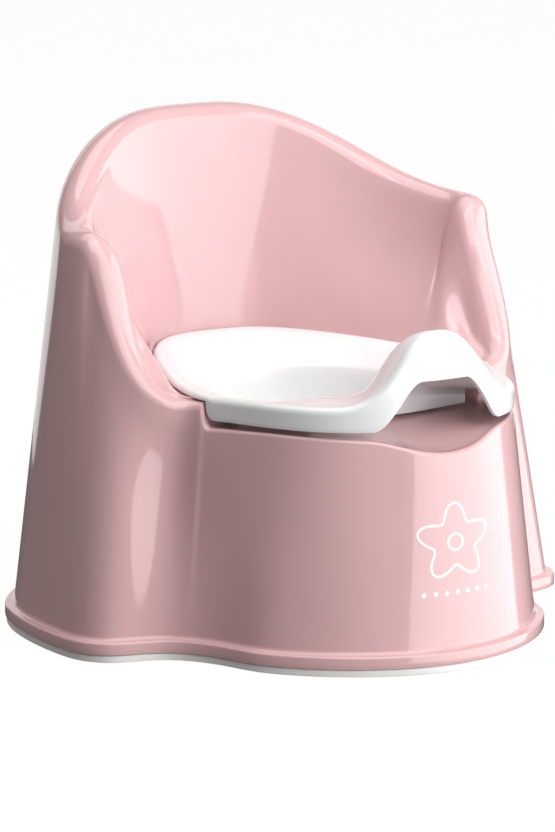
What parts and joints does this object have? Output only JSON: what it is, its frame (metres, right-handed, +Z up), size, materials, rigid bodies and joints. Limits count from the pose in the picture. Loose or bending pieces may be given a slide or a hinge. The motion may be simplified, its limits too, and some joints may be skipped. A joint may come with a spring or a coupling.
{
  "type": "potty training chair",
  "caption": "Moulded toddler potty chair with high back and arms, a lift-out potty with splash guard, and a soft non-slip base strip.",
  "frame": {"origin": "centre of the footprint's bounding box, on the floor plane under the base strip", "axes": "+Z up, the seat faces -Y, +X is the seated child's left, the chair is symmetric about X = 0"},
  "size_m": [0.38, 0.3615, 0.3237],
  "materials": {
    "pink_plastic": "high gloss moulded",
    "white_plastic": "gloss moulded",
    "strip_rubber": "matt soft rubber"
  },
  "bodies": {
    "chair": {"chair_shell": "pink_plastic", "non_slip_strip": "strip_rubber"},
    "potty": {"inner_potty": "white_plastic"}
  },
  "joints": [
    {"name": "potty_lift", "type": "slide", "parent": "chair", "child": "potty", "axis": [0, 0, 1], "range_m": [0, 0.28]}
  ]
}
